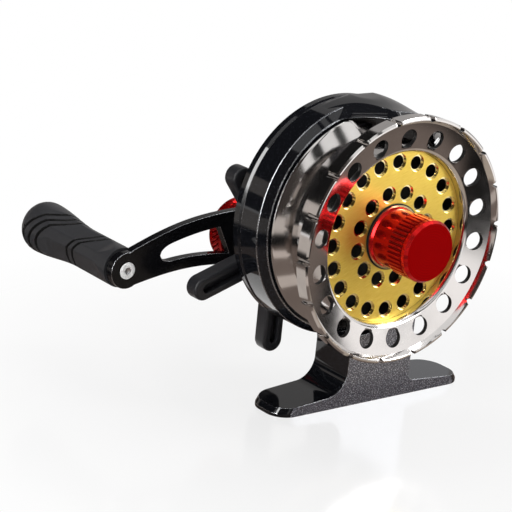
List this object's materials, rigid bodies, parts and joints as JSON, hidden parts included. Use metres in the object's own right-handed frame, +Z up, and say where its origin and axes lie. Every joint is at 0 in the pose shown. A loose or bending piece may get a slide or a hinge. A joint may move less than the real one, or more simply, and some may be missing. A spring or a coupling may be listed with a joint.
{
  "type": "fly reel",
  "caption": "Geared fly reel with an open perforated spool, line hood, star drag, long crank with a turning grip, and a flat foot for a rod's reel seat.",
  "frame": {"origin": "centre of the foot's underside", "axes": "+Z up from the foot to the spool, +X along the foot, spool axis along Y with the open spool face towards -Y and the crank towards +Y"},
  "size_m": [0.1017, 0.1018, 0.0835],
  "materials": {
    "frame_black": "gloss black paint with fine metal fleck",
    "cover_black": "gloss black paint",
    "nickel_black": "polished, black nickel plated",
    "gold": "brushed, gold anodised",
    "red": "satin, red anodised",
    "star_black": "satin black anodised",
    "crank_black": "semi-gloss black paint",
    "steel": "ground bright",
    "brass": "machined",
    "washer_black": "matte",
    "friction": "woven carbon, matte",
    "grip_black": "moulded, fine matte grain"
  },
  "bodies": {
    "frame": {"frame": "frame_black", "rear_cover": "cover_black", "cover_screws": "steel", "spool_bearing_front": "steel", "spool_bearing_rear": "steel", "shaft_bearing": "steel", "one_way_bearing": "steel"},
    "spool": {"spool": "nickel_black", "face_plate": "gold", "spool_shaft": "steel", "pinion_gear": "brass", "shaft_clip": "steel"},
    "knob_washer": {"knob_washer": "washer_black"},
    "spool_knob": {"spool_knob": "red"},
    "handle": {"drive_shaft": "steel", "drive_gear": "brass", "drag_washers": "friction", "pressure_plate": "steel", "clutch_sleeve": "steel", "spring_washers": "steel", "shaft_spacer": "star_black", "crank_arm": "crank_black", "handle_nut": "red", "knob_pin": "steel", "grip_screw": "steel"},
    "star": {"star_wheel": "star_black"},
    "drag_nut": {"drag_nut": "brass"},
    "grip": {"grip": "grip_black", "grip_bearings": "steel", "grip_cap": "grip_black"}
  },
  "joints": [
    {"name": "handle_turn", "type": "hinge", "parent": "frame", "child": "handle", "pos_m": [-0.02005, 0, 0.03905], "axis": [0, 1, 0], "continuous": true},
    {"name": "spool_spin", "type": "hinge", "parent": "frame", "child": "spool", "pos_m": [-0.0086, 0, 0.0505], "axis": [0, 1, 0], "continuous": true},
    {"name": "knob_travel", "type": "slide", "parent": "spool", "child": "knob_washer", "axis": [0, -1, 0], "range_m": [0, 0.0021]},
    {"name": "spool_knob_turn", "type": "hinge", "parent": "knob_washer", "child": "spool_knob", "pos_m": [-0.0086, 0, 0.0505], "axis": [0, -1, 0], "range_deg": [0, 1080]},
    {"name": "star_turn", "type": "hinge", "parent": "handle", "child": "star", "pos_m": [-0.02005, 0, 0.03905], "axis": [0, -1, 0], "range_deg": [-180, 180]},
    {"name": "drag_nut_travel", "type": "slide", "parent": "star", "child": "drag_nut", "axis": [0, -1, 0], "range_m": [-0.000376, 0.000376]},
    {"name": "grip_spin", "type": "hinge", "parent": "handle", "child": "grip", "pos_m": [-0.06107, 0, 0.03415], "axis": [0, 1, 0], "continuous": true}
  ],
  "couplings": [
    {"joint": "spool_spin", "follows": "handle_turn", "ratio": -2.6},
    {"joint": "knob_travel", "follows": "spool_knob_turn", "m_per_rad": 0.00011141},
    {"joint": "drag_nut_travel", "follows": "star_turn", "m_per_rad": 0.00011937}
  ]
}
